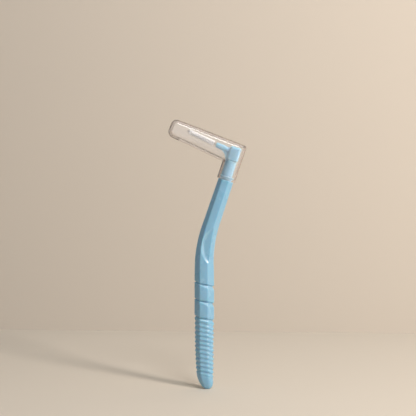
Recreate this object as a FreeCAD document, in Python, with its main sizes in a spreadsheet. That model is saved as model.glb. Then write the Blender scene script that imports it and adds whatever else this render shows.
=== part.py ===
import FreeCAD, Part
import math
import os

# Angled interdental brush: a moulded handle, a twisted wire brush and a slotted clear cap.
# Lengths are in mm. The L of the brush lies in the XZ plane, Z is up, the brush points to -X
# and the butt of the handle stands on the origin.

doc = FreeCAD.newDocument("interdental_brush")
sheet = doc.addObject("Spreadsheet::Sheet", "dims")

sizes = {
    # grip, stacked upwards from the butt
    "butt_height": 4.6,
    "butt_round_height": 6.4,
    "butt_half_width": 3.35,
    "butt_half_depth": 2.5,
    "butt_axis_x": -0.95,
    "grip_axis_x": -1.25,
    "grip_half_width": 3.8,
    "grip_half_depth": 2.9,
    "grip_half_flat": 1.7,
    "grip_corner": 0.8,
    "rib_count": 13,
    "rib_pitch": 1.72,
    "rib_depth": 0.32,
    "rib_set_in": 0.06,
    "groove_count": 3,
    "groove_height": 1.25,
    "groove_depth": 0.6,
    "band_height": 5.4,
    # waist, bend and neck above the last groove
    "waist_length": 6.75,
    "bend_radius": 50.0,
    "neck_lean_deg": 18.5,
    "neck_length": 18.25,
    "neck_half_width": 2.95,
    "neck_half_depth": 2.35,
    "neck_half_flat": 1.35,
    "neck_corner": 0.6,
    "shoulder_edge": 0.3,
    "scoop_radius": 80.0,
    "scoop_depth": 0.7,
    "scoop_outline_radius": 8.9,
    # collar, post and head, measured up the neck from its shoulder
    "brush_height": 10.9,
    "head_rise": 2.4,
    "head_drop": 3.0,
    "head_edge": 0.4,
    "collar_height": 1.5,
    "post_offset": 0.35,
    "post_gap": 0.3,
    # nozzle and brush, measured along the brush from the post's axis
    "brush_rise_deg": 7.0,
    "nozzle_length": 8.0,
    "nozzle_root_radius": 1.25,
    "nozzle_end_radius": 1.0,
    "gusset_depth": 2.2,
    "gusset_drop": 4.5,
    "wire_radius": 0.14,
    "wire_embed": 2.0,
    "wire_bore_gap": 0.02,
    "twist_pitch": 2.0,
    "bare_root": 1.0,
    "bristle_length": 10.4,
    "bare_tip": 0.9,
    "bristle_root_radius": 1.5,
    "bristle_tip_radius": 1.25,
    "filament_radius": 0.045,
    "filament_gap": 0.02,
    "filaments_per_fan": 16,
    # cap
    "cap_bore_radius": 2.85,
    "cap_wall": 0.7,
    "cap_fit_gap": 0.05,
    "cap_lift": 0.1,
    "cap_roof_gap": 1.05,
    "cap_top_rise_deg": 2.6,
    "cap_root_height": 9.4,
    "cap_end_height": 7.0,
    "cap_corner": 2.6,
    "cap_end_gap": 5.85,
    "cap_end_round": 1.7,
    "slot_side_gap": 0.25,
    "slot_end_gap": 2.7,
}
for row, (alias, value) in enumerate(sizes.items(), start=1):
    sheet.set("A" + str(row), alias)
    sheet.set("B" + str(row), str(value))
    sheet.setAlias("B" + str(row), alias)
doc.recompute()


def size(alias):
    return float(sheet.get(alias))


def between(low, high, share):
    return size(low) + (size(high) - size(low)) * share


def add(kind, label, bindings):
    made = doc.addObject(kind, label)
    made.Label = label
    for prop, expression in bindings.items():
        made.setExpression(prop, expression)
    return made


def add_shape(label, shape):
    made = doc.addObject("Part::Feature", label)
    made.Label = label
    made.Shape = shape
    return made


def join(label, pieces):
    made = doc.addObject("Part::MultiFuse", label)
    made.Label = label
    made.Shapes = pieces
    return made


def cut(label, base, tool):
    made = doc.addObject("Part::Cut", label)
    made.Label = label
    made.Base = base
    made.Tool = tool
    return made


def dress(kind, label, base, wanted, reach):
    # a fillet or chamfer on those edges of base that wanted picks
    doc.recompute()
    made = doc.addObject(kind, label)
    made.Label = label
    made.Base = base
    made.Edges = [(n, reach, reach) for n, edge in enumerate(base.Shape.Edges, start=1) if wanted(edge)]
    return made


along_x = FreeCAD.Vector(1, 0, 0)
along_y = FreeCAD.Vector(0, 1, 0)
along_z = FreeCAD.Vector(0, 0, 1)


def leaning(x, z, degrees):
    return FreeCAD.Placement(FreeCAD.Vector(x, 0, z), FreeCAD.Rotation(along_y, degrees))


def rounded_outline(tips, corner):
    # a closed wire through the tips, each of them rounded by the same corner radius
    arcs = []
    for index, tip in enumerate(tips):
        to_last = tips[index - 1].sub(tip).normalize()
        to_next = tips[(index + 1) % len(tips)].sub(tip).normalize()
        half_angle = to_last.getAngle(to_next) / 2
        trim = corner / math.tan(half_angle)
        inward = to_last.add(to_next).normalize() * (corner / math.sin(half_angle) - corner)
        arcs.append((tip + to_last * trim, tip + inward, tip + to_next * trim))
    edges = []
    for index, (start, middle, end) in enumerate(arcs):
        edges.append(Part.Arc(start, middle, end).toShape())
        next_start = arcs[(index + 1) % len(arcs)][0]
        edges.append(Part.LineSegment(end, next_start).toShape())
    return Part.Wire(edges)


def hexagon_section(placement, half_width, half_depth, half_flat, corner):
    # half_width is measured to the rounded side corner, so the sharp one stands a little outside it
    side_angle = math.atan2(half_depth, half_width - half_flat)
    side = half_width + corner * (1 / math.sin(side_angle) - 1)
    tips = [
        FreeCAD.Vector(side, 0, 0),
        FreeCAD.Vector(half_flat, half_depth, 0),
        FreeCAD.Vector(-half_flat, half_depth, 0),
        FreeCAD.Vector(-side, 0, 0),
        FreeCAD.Vector(-half_flat, -half_depth, 0),
        FreeCAD.Vector(half_flat, -half_depth, 0),
    ]
    wire = rounded_outline(tips, corner)
    wire.Placement = placement
    return wire


lean = size("neck_lean_deg")
lean_cos = math.cos(math.radians(lean))
lean_sin = math.sin(math.radians(lean))

# Butt: a quarter ellipse that ends on a small level land, its sections turning level on the way down.
# The ribs start before the ellipse is full, so the lowest of them run round the end of the grip.
butt_height_shares = (0, 0.04, 0.14, 0.32, 0.56, 0.8)
butt_land_share = 0.2


def butt_scale(height):
    rise_share = min(1, height / size("butt_round_height"))
    return butt_land_share + (1 - butt_land_share) * math.sqrt(1 - (1 - rise_share) ** 2)


butt_flat = size("grip_half_flat") * size("butt_half_width") / size("grip_half_width")
handle_wires = []
for height_share in butt_height_shares:
    height = size("butt_height") * height_share
    scale_share = butt_scale(height)
    tilt = lean * height_share
    handle_wires.append(
        hexagon_section(
            leaning(size("butt_axis_x") * height_share, height, tilt),
            (size("butt_half_width") - size("rib_set_in")) * scale_share / math.cos(math.radians(tilt)),
            (size("butt_half_depth") - size("rib_set_in")) * scale_share,
            butt_flat * scale_share,
            size("grip_corner") * scale_share,
        )
    )

# Grip: every section lies parallel to the shoulder, so ribs and grooves slant across the grip.
rib_zone = size("rib_count") * size("rib_pitch")


def grip_section(height, set_in):
    fall = (1 - min(1, (height - size("butt_height")) / rib_zone)) ** 3
    scale_share = butt_scale(height)
    half_width = between("grip_half_width", "butt_half_width", fall) * scale_share
    half_depth = between("grip_half_depth", "butt_half_depth", fall) * scale_share
    return hexagon_section(
        leaning(between("grip_axis_x", "butt_axis_x", fall), height, lean),
        (half_width - set_in) / lean_cos,
        half_depth - set_in,
        size("grip_half_flat") * half_width / size("grip_half_width"),
        size("grip_corner") * scale_share,
    )


# Ribs: each pitch is a valley between two sloping flanks, and then the crest.
rib_shares = ((0.22, 1), (0.46, 0), (1, 0))
handle_wires.append(grip_section(size("butt_height"), size("rib_set_in")))
for rib in range(int(size("rib_count"))):
    rib_foot = size("butt_height") + rib * size("rib_pitch")
    for height_share, depth_share in rib_shares:
        height = rib_foot + size("rib_pitch") * height_share
        handle_wires.append(grip_section(height, size("rib_set_in") + size("rib_depth") * depth_share))

# Grooves: a long lower flank and a short upper one, with a plain band between two grooves.
groove_shares = ((0.7, 1), (1, 0))
groove_foot = size("butt_height") + rib_zone
for groove in range(int(size("groove_count"))):
    if groove > 0:
        handle_wires.append(grip_section(groove_foot, 0))
    for height_share, depth_share in groove_shares:
        height = groove_foot + size("groove_height") * height_share
        handle_wires.append(grip_section(height, size("groove_depth") * depth_share))
    grip_top = groove_foot + size("groove_height")
    groove_foot = grip_top + size("band_height")

# Neck: upright to the bend, round the bend, then straight up to the shoulder, slimming all the way.
bend_foot = grip_top + size("waist_length")
bend_steps = 8
bend_start_share = 0.1
bend_end_share = 0.74
middle_share = 0.5


def bend_place(share):
    angle = math.radians(lean * share)
    x = size("grip_axis_x") + size("bend_radius") * (1 - math.cos(angle))
    return x, bend_foot + size("bend_radius") * math.sin(angle)


def bend_slim(share):
    return bend_start_share + (bend_end_share - bend_start_share) * share


def neck_section(x, z, turn_share, slim_share, set_in):
    cross = math.cos(math.radians(lean * (1 - turn_share)))
    return hexagon_section(
        leaning(x, z, lean),
        (between("grip_half_width", "neck_half_width", slim_share) - set_in) / cross,
        between("grip_half_depth", "neck_half_depth", slim_share) - set_in,
        between("grip_half_flat", "neck_half_flat", slim_share),
        between("grip_corner", "neck_corner", slim_share),
    )


for step in range(bend_steps + 1):
    x, z = bend_place(step / bend_steps)
    handle_wires.append(neck_section(x, z, step / bend_steps, bend_slim(step / bend_steps), 0))
shoulder_x = x + size("neck_length") * lean_sin
shoulder_z = z + size("neck_length") * lean_cos
edge_x = shoulder_x - size("shoulder_edge") * lean_sin
edge_z = shoulder_z - size("shoulder_edge") * lean_cos
handle_wires.append(neck_section(edge_x, edge_z, 1, 1, 0))
handle_wires.append(neck_section(shoulder_x, shoulder_z, 1, 1, size("shoulder_edge")))
handle_blank = add_shape("handle_blank", Part.makeLoft(handle_wires, True, True))

# Thumb scoops: on each side a dish with a sloping wall, a cone, and a floor that a large cylinder lying
# across the flat hollows. Its round outline just reaches the inner edge of the flat.
scoop_share = 0.54
scoop_x, scoop_z = bend_place(scoop_share)
scoop_flat = between("grip_half_flat", "neck_half_flat", bend_slim(scoop_share))
scoop_level = between("grip_half_depth", "neck_half_depth", bend_slim(scoop_share))
scoop_across = FreeCAD.Rotation(along_y, lean * scoop_share).multVec(along_x)
scoop_axis = FreeCAD.Vector(scoop_x, 0, scoop_z)
outline_axis = scoop_axis + scoop_across * (size("scoop_outline_radius") - scoop_flat)
scoops = []
for side_name, side in (("front", -1), ("back", 1)):
    outward = along_y * side
    scoop_wall = add(
        "Part::Cone",
        "scoop_wall_" + side_name,
        {
            "Radius1": "dims.scoop_outline_radius - dims.scoop_depth * 2",
            "Radius2": "dims.scoop_outline_radius + dims.scoop_depth * 2",
            "Height": "dims.scoop_depth * 4",
        },
    )
    scoop_wall.Placement = FreeCAD.Placement(
        outline_axis + outward * (scoop_level - size("scoop_depth") * 2),
        FreeCAD.Rotation(along_z, outward),
    )
    scoop_floor = add(
        "Part::Cylinder",
        "scoop_floor_" + side_name,
        {"Radius": "dims.scoop_radius", "Height": "dims.grip_half_width * 6"},
    )
    scoop_floor.Placement = FreeCAD.Placement(
        scoop_axis
        + outward * (scoop_level + size("scoop_radius") - size("scoop_depth"))
        - scoop_across * (size("grip_half_width") * 3),
        FreeCAD.Rotation(along_z, scoop_across),
    )
    scoop = doc.addObject("Part::MultiCommon", "scoop_" + side_name)
    scoop.Shapes = [scoop_wall, scoop_floor]
    scoops.append(scoop)
scoop_pair = join("scoop_pair", scoops)
handle_scooped = cut("handle_scooped", handle_blank, scoop_pair)

# The shoulder frame stands on the top of the neck with Z up the post.
# The brush frame lies in it with Z out along the brush.
shoulder = leaning(shoulder_x, shoulder_z, lean)
square_deg = 90
brush_local = leaning(0, size("brush_height"), size("brush_rise_deg") - square_deg)
brush_frame = shoulder.multiply(brush_local)

# Collar, post and head, all sized from the bore of the cap that slides over them.
post_radius = size("cap_bore_radius") - size("post_gap") - size("post_offset")
head_half_share = 0.7
head_corner_share = 0.25
head_half = "dims.cap_bore_radius * " + str(head_half_share)
collar = add(
    "Part::Cylinder",
    "collar",
    {"Radius": "dims.cap_bore_radius - dims.cap_fit_gap", "Height": "dims.collar_height"},
)
post = add(
    "Part::Cylinder",
    "post",
    {
        "Radius": "dims.cap_bore_radius - dims.post_gap - dims.post_offset",
        "Height": "dims.brush_height",
        "Placement.Base.x": "-dims.post_offset",
    },
)
head_box = add(
    "Part::Box",
    "head_box",
    {
        "Length": head_half + " * 2",
        "Width": head_half + " * 2",
        "Height": "dims.head_drop + dims.head_rise",
        "Placement.Base.x": "-" + head_half,
        "Placement.Base.y": "-" + head_half,
        "Placement.Base.z": "dims.brush_height - dims.head_drop",
    },
)


def is_upright(edge):
    return edge.BoundBox.ZLength > size("head_drop")


def is_on_head_top(edge):
    return edge.BoundBox.ZMin > size("brush_height") + size("head_rise") - size("head_edge")


head_corner = size("cap_bore_radius") * head_corner_share
head_sides = dress("Part::Fillet", "head_sides", head_box, is_upright, head_corner)
head = dress("Part::Chamfer", "head", head_sides, is_on_head_top, size("head_edge"))
nozzle = add(
    "Part::Cone",
    "nozzle",
    {
        "Radius1": "dims.nozzle_root_radius",
        "Radius2": "dims.nozzle_end_radius",
        "Height": "dims.nozzle_length",
    },
)
nozzle.Placement = brush_local

# Gusset: a web in the corner under the nozzle with a hollow open side.
gusset_reach_share = 0.7
gusset_hollow_share = 0.3
gusset_x = -size("nozzle_length") * gusset_reach_share
gusset_axis_z = size("brush_height") - gusset_x * math.tan(math.radians(size("brush_rise_deg")))
post_side_x = -size("post_offset") - post_radius
gusset_top = FreeCAD.Vector(gusset_x, 0, gusset_axis_z - size("nozzle_end_radius"))
gusset_foot = FreeCAD.Vector(post_side_x, 0, size("brush_height") - size("gusset_drop"))
gusset_corner = FreeCAD.Vector(post_side_x, 0, size("brush_height"))
chord_middle = (gusset_top + gusset_foot) * middle_share
gusset_hollow = chord_middle + (gusset_corner - chord_middle) * gusset_hollow_share
gusset_points = [
    gusset_foot,
    FreeCAD.Vector(0, 0, gusset_foot.z),
    FreeCAD.Vector(0, 0, size("brush_height")),
    FreeCAD.Vector(gusset_x, 0, gusset_axis_z),
    gusset_top,
]
gusset_edges = [Part.Arc(gusset_top, gusset_hollow, gusset_foot).toShape()]
for start, end in zip(gusset_points, gusset_points[1:]):
    gusset_edges.append(Part.LineSegment(start, end).toShape())
gusset_face = Part.Face(Part.Wire(gusset_edges))
gusset_face.translate(along_y * (-size("gusset_depth") / 2))
gusset = add_shape("gusset", gusset_face.extrude(along_y * size("gusset_depth")))

# The wire's bore in the nozzle, and the finished handle.
twist_radius = size("wire_radius") + size("filament_radius") + size("filament_gap")
wire_root = size("nozzle_length") - size("wire_embed")
wire_bore = add(
    "Part::Cylinder",
    "wire_bore",
    {
        "Radius": "dims.wire_radius * 2 + dims.filament_radius + dims.filament_gap + dims.wire_bore_gap",
        "Height": "dims.nozzle_length",
    },
)
wire_bore.Placement = brush_local.multiply(leaning(0, wire_root, 0))
head_solid = join("head_solid", [collar, post, head, nozzle, gusset])
head_bored = cut("head_bored", head_solid, wire_bore)
head_bored.Placement = shoulder
handle = join("handle", [handle_scooped, head_bored])

# Twisted wire: one wire folded at the tip, its two legs laid as arcs along a double helix.
bristle_start = size("nozzle_length") + size("bare_root")
wire_reach = bristle_start + size("bristle_length") + size("bare_tip")
twist_end = wire_reach - twist_radius - size("wire_radius")
twist_rate = 2 * math.pi / size("twist_pitch")
twist_lead = 1 / twist_rate


def leg_point(height, side):
    angle = twist_rate * height
    reach = twist_radius * side
    return FreeCAD.Vector(reach * math.cos(angle), reach * math.sin(angle), height)


def leg_run(height, side):
    angle = twist_rate * height
    reach = twist_radius * side
    return FreeCAD.Vector(-reach * math.sin(angle), reach * math.cos(angle), twist_lead).normalize()


def tangent_arc(start, tip, end):
    middle = (start + end) * middle_share
    apex = tip - middle
    half_chord = end.sub(start).Length / 2
    bulge = half_chord * math.tan(math.atan2(apex.Length, half_chord) / 2)
    return Part.Arc(start, middle + apex * (bulge / apex.Length), end).toShape()


def two_arcs(start, start_run, end, end_run):
    # a pair of arcs that leave start along start_run and reach end along end_run
    span = end - start
    lead = span.dot(start_run + end_run)
    bend = 2 * (1 - start_run.dot(end_run))
    reach = (math.sqrt(lead * lead + bend * span.dot(span)) - lead) / bend
    first = start + start_run * reach
    last = end - end_run * reach
    meet = (first + last) * middle_share
    return [tangent_arc(start, first, meet), tangent_arc(meet, last, end)]


def six_sided(middle, aside, up, radius):
    side_count = 6
    corners = []
    for corner in range(side_count + 1):
        angle = 2 * math.pi * corner / side_count
        corners.append(middle + aside * (radius * math.sin(angle)) + up * (radius * math.cos(angle)))
    return Part.makePolygon(corners)


half_turns = math.ceil((twist_end - wire_root) / (size("twist_pitch") / 2))
leg_heights = [wire_root + (twist_end - wire_root) * step / half_turns for step in range(half_turns + 1)]
stops = [(leg_point(height, 1), leg_run(height, 1)) for height in leg_heights]
stops += [(leg_point(height, -1), leg_run(height, -1) * -1) for height in reversed(leg_heights)]
wire_edges = []
for (start, start_run), (end, end_run) in zip(stops, stops[1:]):
    wire_edges += two_arcs(start, start_run, end, end_run)
root_point, root_run = stops[0]
root_aside = root_run.cross(along_z).normalize()
wire_ring = six_sided(root_point, root_aside, root_aside.cross(root_run), size("wire_radius"))
twisted_wire = add_shape("twisted_wire", Part.Wire(wire_edges).makePipeShell([wire_ring], True, False))
twisted_wire.Placement = brush_frame

# Filaments: straight rods pinched between the legs, one fan for about each turn of the twist.
fan_count = max(1, round(size("bristle_length") / size("twist_pitch")))
per_fan = int(size("filaments_per_fan"))
filament_step = size("bristle_length") / (fan_count * per_fan)


def filament(count):
    along = filament_step * (count + middle_share)
    height = bristle_start + along
    half_length = between("bristle_root_radius", "bristle_tip_radius", along / size("bristle_length"))
    across_legs = FreeCAD.Vector(math.cos(twist_rate * height), math.sin(twist_rate * height), 0)
    run = along_z.cross(across_legs)
    ring = six_sided(along_z * height - run * half_length, across_legs, along_z, size("filament_radius"))
    return Part.Face(ring).extrude(run * (half_length * 2))


fans = []
for fan_index in range(fan_count):
    rods = [filament(fan_index * per_fan + rod) for rod in range(per_fan)]
    fan = add_shape("filament_fan_" + str(fan_index + 1).zfill(2), Part.makeCompound(rods))
    fan.Placement = brush_frame
    fans.append(fan)

# Cap: a round upright leg and a deep arm with rounded edges, hollowed by the same form one wall smaller.
# The arm is a little shallower than the leg is wide, so that their surfaces cross cleanly.
# In the arm's frame Y runs out along the top line of the cap and Z is up.
wire_span = "(dims.nozzle_length + dims.bare_root + dims.bristle_length + dims.bare_tip)"
arm_span = "(" + wire_span + " + dims.cap_end_gap + dims.cap_wall)"
arm_top = size("brush_height") + size("head_rise") + size("cap_roof_gap") + size("cap_wall")
arm_turn = FreeCAD.Placement(FreeCAD.Vector(), FreeCAD.Rotation(along_z, square_deg))
arm_frame = leaning(0, arm_top, size("cap_top_rise_deg")).multiply(arm_turn)


def is_along_arm(edge):
    return edge.Length > wire_reach


def is_at_arm_end(edge):
    return edge.BoundBox.XMax < -wire_reach


def cap_form(name, wall, wall_depth, mouth):
    radius = "dims.cap_bore_radius + dims.cap_wall - " + wall
    half_depth = radius + " - dims.cap_fit_gap"
    bar = add(
        "Part::Wedge",
        name + "_bar",
        {
            "Xmin": "-(" + half_depth + ")",
            "Xmax": half_depth,
            "X2min": "-(" + half_depth + ")",
            "X2max": half_depth,
            "Ymin": "-dims.cap_bore_radius * 2",
            "Ymax": arm_span + " - " + wall,
            "Zmin": wall + " - dims.cap_root_height",
            "Zmax": "-" + wall,
            "Z2min": wall + " - dims.cap_end_height",
            "Z2max": "-" + wall,
        },
    )
    bar.Placement = arm_frame
    corner = size("cap_corner") - wall_depth
    bar_sides = dress("Part::Fillet", name + "_bar_sides", bar, is_along_arm, corner)
    end_round = size("cap_end_round") - wall_depth
    bar_rounded = dress("Part::Fillet", name + "_bar_rounded", bar_sides, is_at_arm_end, end_round)
    above = "dims.brush_height * 2"
    plan_round = add("Part::Cylinder", name + "_plan_round", {"Radius": radius, "Height": above})
    plan_run = add(
        "Part::Box",
        name + "_plan_run",
        {
            "Length": arm_span + " * 2",
            "Width": "dims.cap_bore_radius * 4",
            "Height": above,
            "Placement.Base.x": "-" + arm_span + " * 2",
            "Placement.Base.y": "-dims.cap_bore_radius * 2",
        },
    )
    plan = join(name + "_plan", [plan_round, plan_run])
    arm = doc.addObject("Part::MultiCommon", name + "_arm")
    arm.Shapes = [bar_rounded, plan]
    leg = add(
        "Part::Cylinder",
        name + "_leg",
        {"Radius": radius, "Height": "dims.brush_height - (" + mouth + ")", "Placement.Base.z": mouth},
    )
    return join(name, [arm, leg])


cap_below = "dims.cap_lift - dims.cap_wall"
cap_outside = cap_form("cap_outside", "0", 0, "dims.cap_lift")
cap_inside = cap_form("cap_inside", "dims.cap_wall", size("cap_wall"), cap_below)

# Slot: along the underside of the arm and down the leg, wide enough for the filaments to pass.
slot_half = "(dims.bristle_root_radius + dims.slot_side_gap)"
slot_length = "(" + wire_span + " + dims.slot_end_gap - " + slot_half + ")"
slot_depth = "dims.brush_height - (" + cap_below + ")"
slot_run = add(
    "Part::Box",
    "slot_run",
    {
        "Length": slot_length,
        "Width": slot_half + " * 2",
        "Height": slot_depth,
        "Placement.Base.x": "-" + slot_length,
        "Placement.Base.y": "-" + slot_half,
        "Placement.Base.z": cap_below,
    },
)
slot_end = add(
    "Part::Cylinder",
    "slot_end",
    {
        "Radius": slot_half,
        "Height": slot_depth,
        "Placement.Base.x": "-" + slot_length,
        "Placement.Base.z": cap_below,
    },
)
cap_hollow = join("cap_hollow", [cap_inside, slot_run, slot_end])
clear_cap = cut("clear_cap", cap_outside, cap_hollow)
clear_cap.Placement = shoulder

doc.recompute()
for made in doc.Objects:
    if "Invalid" in made.State or "Error" in made.State:
        raise RuntimeError(made.Label + " did not build")

os.makedirs("parts", exist_ok=True)
for node in [handle, twisted_wire, clear_cap] + fans:
    if node.Shape.isNull() or not node.Shape.isValid():
        raise RuntimeError(node.Label + " is not a valid solid")
    node.Shape.exportStep("parts/" + node.Label + ".step")
    print(node.Label, len(node.Shape.Solids), round(node.Shape.Volume, 3))
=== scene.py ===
import bpy
import bmesh
import math
import random
from mathutils import Matrix, Vector


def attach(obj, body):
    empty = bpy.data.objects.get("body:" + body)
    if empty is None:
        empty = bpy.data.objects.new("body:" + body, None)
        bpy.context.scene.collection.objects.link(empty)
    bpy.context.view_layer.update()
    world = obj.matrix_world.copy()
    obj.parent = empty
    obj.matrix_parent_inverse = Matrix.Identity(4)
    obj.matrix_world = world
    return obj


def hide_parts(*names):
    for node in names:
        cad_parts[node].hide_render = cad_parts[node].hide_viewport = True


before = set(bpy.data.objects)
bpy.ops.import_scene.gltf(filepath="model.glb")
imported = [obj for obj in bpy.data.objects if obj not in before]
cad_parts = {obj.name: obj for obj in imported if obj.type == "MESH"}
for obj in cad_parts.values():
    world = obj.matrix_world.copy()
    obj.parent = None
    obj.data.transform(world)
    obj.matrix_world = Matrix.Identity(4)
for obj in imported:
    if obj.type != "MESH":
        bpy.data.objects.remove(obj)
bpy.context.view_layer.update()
scene = bpy.context.scene
scene.view_settings.view_transform = "Standard"
print("frame:", sorted(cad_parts))

milli = 0.001  # the forms are given in mm


def pointing(turn, rise):
    # away from the brush, turned to the right of square-on and raised, in degrees
    turn, rise = math.radians(turn), math.radians(rise)
    return Vector((math.sin(turn) * math.cos(rise), -math.cos(turn) * math.cos(rise), math.sin(rise)))


def lookBack(away):
    return (-away).to_track_quat("-Z", "Y").to_euler()


# camera, a little right of square-on and a little above the brush
shot = {
    "aim": (0.0002, 0.0, 0.07066),
    "distance": 0.38,
    "turn": 3.0,
    "rise": 3.0,
    "span": 0.16103,  # width of the picture at the brush
    "sensor": 36.0,
    "clip": (0.01, 20.0),
}


def placeCamera():
    away = pointing(shot["turn"], shot["rise"])
    data = bpy.data.cameras.new("camera")
    data.sensor_width = shot["sensor"]
    data.lens = shot["sensor"] * shot["distance"] / shot["span"]
    data.clip_start, data.clip_end = shot["clip"]
    cam = bpy.data.objects.new("camera", data)
    cam.location = Vector(shot["aim"]) + away * shot["distance"]
    cam.rotation_euler = lookBack(away)
    scene.collection.objects.link(cam)
    scene.camera = cam


placeCamera()
print("camera placed")

# shader helpers
floatSocket, colourSocket = "NodeSocketFloat", "NodeSocketColor"
mixFactor, mixFirst, mixSecond, mixResult = 0, 6, 7, 2  # sockets of a colour mix


def newMaterial(name):
    mat = bpy.data.materials.new(name)
    mat.use_nodes = True
    return mat, mat.node_tree, mat.node_tree.nodes["Principled BSDF"]


def rgba(colour):
    return (colour[0], colour[1], colour[2], 1.0)


def addNode(tree, kind, **settings):
    node = tree.nodes.new(kind)
    for name, value in settings.items():
        if name in node.inputs:
            node.inputs[name].default_value = value
        else:
            setattr(node, name, value)
    return node


def addRange(tree, low, high):
    node = tree.nodes.new("ShaderNodeMapRange")
    node.inputs["From Min"].default_value, node.inputs["From Max"].default_value = low, high
    return node


def pickShader(tree, chooser, usual, other):
    # the other shader shows where the chooser is 1
    pick = addNode(tree, "ShaderNodeMixShader")
    tree.links.new(chooser, pick.inputs["Fac"])
    tree.links.new(usual.outputs["BSDF"], pick.inputs[1])
    tree.links.new(other.outputs["BSDF"], pick.inputs[2])
    tree.links.new(pick.outputs["Shader"], tree.nodes["Material Output"].inputs["Surface"])


def letLampsThrough(tree, shader, share):
    path = addNode(tree, "ShaderNodeLightPath")
    through = addNode(tree, "ShaderNodeBsdfTransparent", Color=rgba((share,) * 3))
    pickShader(tree, path.outputs["Is Shadow Ray"], shader, through)


def newGroup(name, inputs, outputs):
    group = bpy.data.node_groups.new(name, "ShaderNodeTree")
    for label, kind, value in inputs:
        socket = group.interface.new_socket(label, in_out="INPUT", socket_type=kind)
        socket.default_value = value
    for label, kind in outputs:
        group.interface.new_socket(label, in_out="OUTPUT", socket_type=kind)
    return group, group.nodes.new("NodeGroupInput"), group.nodes.new("NodeGroupOutput")


def useGroup(tree, group, **values):
    node = tree.nodes.new("ShaderNodeGroup")
    node.node_tree = group
    for label, value in values.items():
        node.inputs[label].default_value = value
    return node


def makeSatinGrain():
    # fine pebble of a spark-eroded mould, with a slow drift of polish
    group, start, end = newGroup(
        "satinGrain",
        [
            ("Pebble", floatSocket, 4500.0),
            ("Drift", floatSocket, 160.0),
            ("Low", floatSocket, 0.35),
            ("High", floatSocket, 0.45),
        ],
        [("Height", floatSocket), ("Polish", floatSocket)],
    )
    link = group.links.new
    where = addNode(group, "ShaderNodeTexCoord")
    pebble = addNode(group, "ShaderNodeTexNoise", Detail=3.0, Roughness=0.6)
    drift = addNode(group, "ShaderNodeTexNoise", Detail=2.0)
    span = addRange(group, 0.3, 0.7)
    link(where.outputs["Object"], pebble.inputs["Vector"])
    link(where.outputs["Object"], drift.inputs["Vector"])
    link(start.outputs["Pebble"], pebble.inputs["Scale"])
    link(start.outputs["Drift"], drift.inputs["Scale"])
    link(drift.outputs["Fac"], span.inputs["Value"])
    link(start.outputs["Low"], span.inputs["To Min"])
    link(start.outputs["High"], span.inputs["To Max"])
    link(pebble.outputs["Fac"], end.inputs["Height"])
    link(span.outputs["Result"], end.inputs["Polish"])
    return group


def makeToneDrift():
    # cloudy change between two close tones
    group, start, end = newGroup(
        "toneDrift",
        [
            ("Tone", colourSocket, (0.5, 0.5, 0.5, 1.0)),
            ("Other", colourSocket, (0.6, 0.6, 0.6, 1.0)),
            ("Size", floatSocket, 120.0),
        ],
        [("Colour", colourSocket)],
    )
    link = group.links.new
    where = addNode(group, "ShaderNodeTexCoord")
    cloud = addNode(group, "ShaderNodeTexNoise", Detail=4.0, Roughness=0.55, Distortion=0.6)
    span = addRange(group, 0.35, 0.65)
    blend = addNode(group, "ShaderNodeMix", data_type="RGBA")
    link(where.outputs["Object"], cloud.inputs["Vector"])
    link(start.outputs["Size"], cloud.inputs["Scale"])
    link(cloud.outputs["Fac"], span.inputs["Value"])
    link(span.outputs["Result"], blend.inputs[mixFactor])
    link(start.outputs["Tone"], blend.inputs[mixFirst])
    link(start.outputs["Other"], blend.inputs[mixSecond])
    link(blend.outputs[mixResult], end.inputs["Colour"])
    return group


def makeHandlingMarks():
    # hairline scuffs that lie mostly one way
    group, start, end = newGroup(
        "handlingMarks",
        [("Size", floatSocket, 900.0), ("Amount", floatSocket, 0.5)],
        [("Mask", floatSocket)],
    )
    link = group.links.new
    where = addNode(group, "ShaderNodeTexCoord")
    stretch = addNode(group, "ShaderNodeMapping", Rotation=(0.3, 0.5, 0.2), Scale=(1.0, 1.0, 0.06))
    streak = addNode(group, "ShaderNodeTexNoise", Detail=2.0, Roughness=0.5)
    thin = addRange(group, 0.66, 0.74)
    scale = addNode(group, "ShaderNodeMath", operation="MULTIPLY")
    link(where.outputs["Object"], stretch.inputs["Vector"])
    link(stretch.outputs["Vector"], streak.inputs["Vector"])
    link(start.outputs["Size"], streak.inputs["Scale"])
    link(streak.outputs["Fac"], thin.inputs["Value"])
    link(thin.outputs["Result"], scale.inputs[0])
    link(start.outputs["Amount"], scale.inputs[1])
    link(scale.outputs["Value"], end.inputs["Mask"])
    return group


satinGrain = makeSatinGrain()
toneDrift = makeToneDrift()
handlingMarks = makeHandlingMarks()


def grainedMaterial(name, s):
    # the tone and polish that the handle, wire and filaments share
    mat, tree, shader = newMaterial(name)
    low, high = s["polish"]
    tone = useGroup(tree, toneDrift, Tone=rgba(s["tone"]), Other=rgba(s["other"]), Size=s["clouds"])
    grain = useGroup(tree, satinGrain, Pebble=s["pebble"], Drift=s["drift"], Low=low, High=high)
    tree.links.new(tone.outputs["Colour"], shader.inputs["Base Color"])
    tree.links.new(grain.outputs["Polish"], shader.inputs["Roughness"])
    return mat, tree, shader, grain


def raiseGrain(tree, shader, grain, s):
    bump = addNode(tree, "ShaderNodeBump", Strength=s["grainBump"], Distance=s["grainDepth"])
    tree.links.new(grain.outputs["Height"], bump.inputs["Height"])
    tree.links.new(bump.outputs["Normal"], shader.inputs["Normal"])


print("shared finishes made")

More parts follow.
